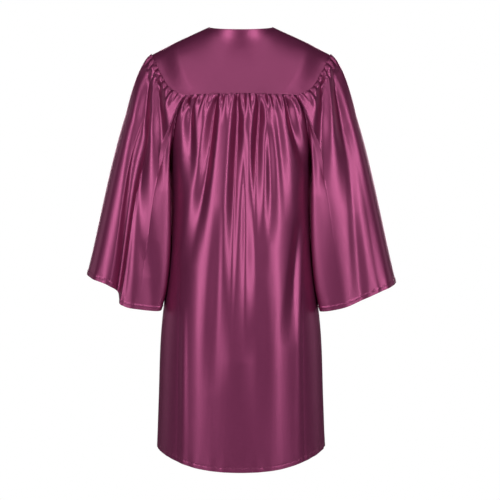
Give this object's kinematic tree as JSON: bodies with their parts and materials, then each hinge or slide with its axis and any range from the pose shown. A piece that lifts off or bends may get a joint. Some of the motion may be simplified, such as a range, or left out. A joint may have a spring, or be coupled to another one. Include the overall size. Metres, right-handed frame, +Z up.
{
  "type": "graduation gown",
  "caption": "Child's graduation gown in shiny satin, worn shape, with smooth yokes, gathered body, wide bell sleeves and a front zip.",
  "frame": {"origin": "middle of the neck opening, level with the neck end of the shoulder seams, where the gown hangs on its wearer", "axes": "+Z up; the wearer faces -Y, so the back, which the picture shows, faces +Y; +X is the wearer's left"},
  "size_m": [0.58, 0.2531, 0.8166],
  "materials": {
    "satin": "shiny woven satin, maroon",
    "zip_tape": "matt woven tape, maroon",
    "zip_chain": "moulded coil teeth, maroon",
    "zip_metal": "enamelled, maroon"
  },
  "bodies": {
    "gown": {"back_yoke": "satin", "front_yoke_left": "satin", "front_yoke_right": "satin", "back_panel": "satin", "front_left": "satin", "front_right": "satin", "sleeve_left": "satin", "sleeve_right": "satin", "zip_tape": "zip_tape", "zip_chain": "zip_chain", "zip_slider": "zip_metal"},
    "pull": {"zip_pull": "zip_metal"}
  },
  "joints": [
    {"name": "zip_pull_hinge", "type": "hinge", "parent": "gown", "child": "pull", "pos_m": [0, -0.09167, -0.121], "axis": [-1, 0, 0], "range_deg": [0, 160]}
  ]
}
